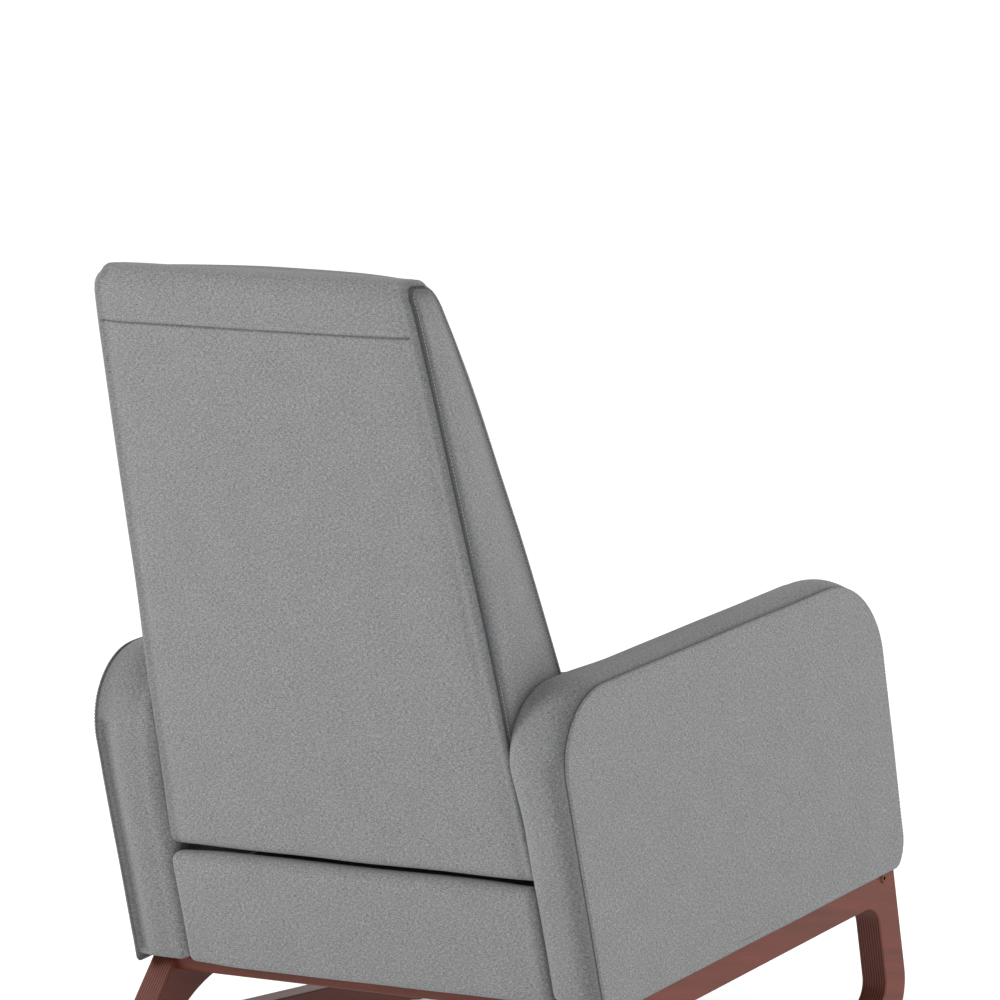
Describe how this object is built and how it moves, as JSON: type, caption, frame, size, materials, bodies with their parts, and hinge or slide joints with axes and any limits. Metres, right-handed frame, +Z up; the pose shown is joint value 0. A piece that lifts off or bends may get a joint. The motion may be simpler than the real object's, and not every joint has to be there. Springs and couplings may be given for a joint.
{
  "type": "glider nursery chair",
  "caption": "Upholstered nursery glider with bent-wood loop frames, hidden swing-link glide and a reclining padded back.",
  "frame": {"origin": "on the floor, at the middle of the chair's box", "axes": "+Z up, the sitter faces -Y, +X to the sitter's left"},
  "size_m": [0.7, 0.9041, 1.0026],
  "materials": {
    "grey_upholstery": "matte heathered weave",
    "backing_cloth": "matte non-woven",
    "stained_wood": "satin lacquer",
    "frame_timber": "sawn",
    "plywood": "sanded",
    "black_steel": "powder coat",
    "zinc_steel": "zinc plated",
    "bronze_bolt": "antique bronze",
    "nylon": "moulded",
    "felt_pad": "felt"
  },
  "bodies": {
    "base": {"barrel_nuts": "zinc_steel", "bracket_bolts": "zinc_steel", "floor_glides": "felt_pad", "frame_bolts": "bronze_bolt", "front_cross_rail": "stained_wood", "glide_brackets_left": "black_steel", "glide_brackets_right": "black_steel", "rear_cross_rail": "stained_wood", "side_frame_left": "stained_wood", "side_frame_right": "stained_wood", "upper_pivot_pins": "zinc_steel"},
    "rear_swing": {"rear_swing_links": "black_steel", "rear_pivot_shaft": "zinc_steel", "rear_link_bushings": "nylon"},
    "front_swing": {"front_swing_links": "black_steel", "front_pivot_shaft": "zinc_steel", "front_link_bushings": "nylon"},
    "seat": {"arm_band_left": "grey_upholstery", "arm_band_right": "grey_upholstery", "arm_bolts": "zinc_steel", "arm_front_post_left": "frame_timber", "arm_front_post_right": "frame_timber", "arm_inner_board_left": "plywood", "arm_inner_board_right": "plywood", "arm_inner_panel_left": "grey_upholstery", "arm_inner_panel_right": "grey_upholstery", "arm_outer_board_left": "plywood", "arm_outer_board_right": "plywood", "arm_outer_panel_left": "grey_upholstery", "arm_outer_panel_right": "grey_upholstery", "arm_rear_post_left": "frame_timber", "arm_rear_post_right": "frame_timber", "arm_top_rail_left": "frame_timber", "arm_top_rail_right": "frame_timber", "corner_blocks": "frame_timber", "dust_cover": "backing_cloth", "front_apron": "grey_upholstery", "hanger_plates": "black_steel", "lower_rear_panel": "grey_upholstery", "recline_pins": "zinc_steel", "seat_back_rail": "frame_timber", "seat_cushion": "grey_upholstery", "seat_deck": "backing_cloth", "seat_front_rail": "frame_timber", "seat_side_rail_left": "frame_timber", "seat_side_rail_right": "frame_timber", "seat_springs": "zinc_steel", "shaft_bearings": "nylon"},
    "back": {"back_bottom_rail": "frame_timber", "back_lumbar_rail": "frame_timber", "back_pad": "grey_upholstery", "back_stile_left": "frame_timber", "back_stile_right": "frame_timber", "back_top_rail": "frame_timber", "back_webbing": "backing_cloth", "outside_back": "grey_upholstery", "recline_plates": "black_steel"}
  },
  "joints": [
    {"name": "glide", "type": "hinge", "parent": "base", "child": "rear_swing", "pos_m": [0, 0.04, 0.34], "axis": [-1, 0, 0], "range_deg": [-18, 18]},
    {"name": "seat_level", "type": "hinge", "parent": "rear_swing", "child": "seat", "pos_m": [0, 0.04, 0.18], "axis": [-1, 0, 0], "range_deg": [-18, 18]},
    {"name": "front_glide", "type": "hinge", "parent": "base", "child": "front_swing", "pos_m": [0, -0.25, 0.382], "axis": [-1, 0, 0], "range_deg": [-18, 18]},
    {"name": "recline", "type": "hinge", "parent": "seat", "child": "back", "pos_m": [0, 0.255, 0.4], "axis": [-1, 0, 0], "range_deg": [0, 22]}
  ],
  "couplings": [
    {"joint": "seat_level", "follows": "glide", "ratio": -1},
    {"joint": "front_glide", "follows": "glide", "ratio": 1}
  ]
}
